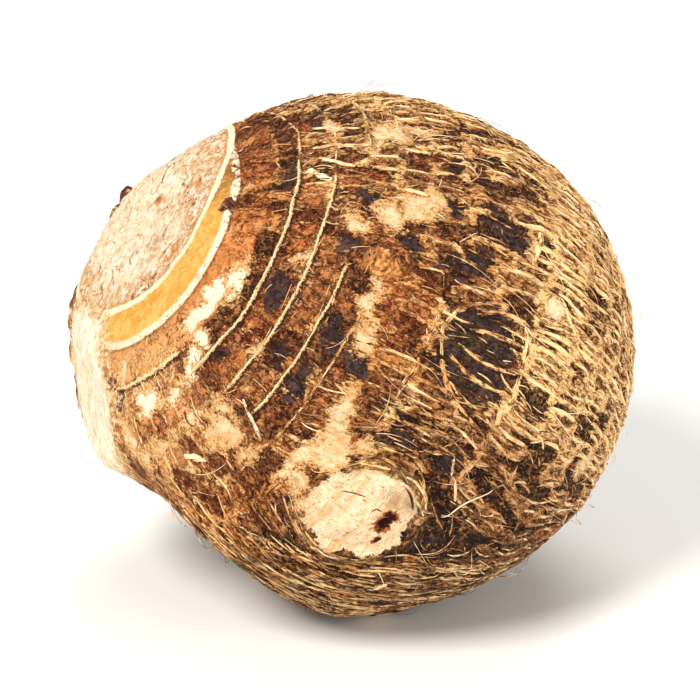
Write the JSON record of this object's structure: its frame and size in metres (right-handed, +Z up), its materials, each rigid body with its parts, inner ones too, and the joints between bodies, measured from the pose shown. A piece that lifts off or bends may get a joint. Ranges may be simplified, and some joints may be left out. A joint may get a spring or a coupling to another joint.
{
  "type": "cocoyam",
  "caption": "Whole cocoyam corm lying on its side, with a cut pale crown, ringed leaf scars and dry fibrous brown bark.",
  "frame": {"origin": "on the table, under the middle of the corm's outer box, where it rests", "axes": "+X is the longest way, from the crown side towards the root side; +Z is up, the shortest way; the cut crown faces -X, up and a little towards -Y"},
  "size_m": [0.0884, 0.0834, 0.0799],
  "materials": {
    "corm_bark": "dry, matt, fibrous"
  },
  "bodies": {
    "root": {"corm": "corm_bark"}
  },
  "joints": []
}
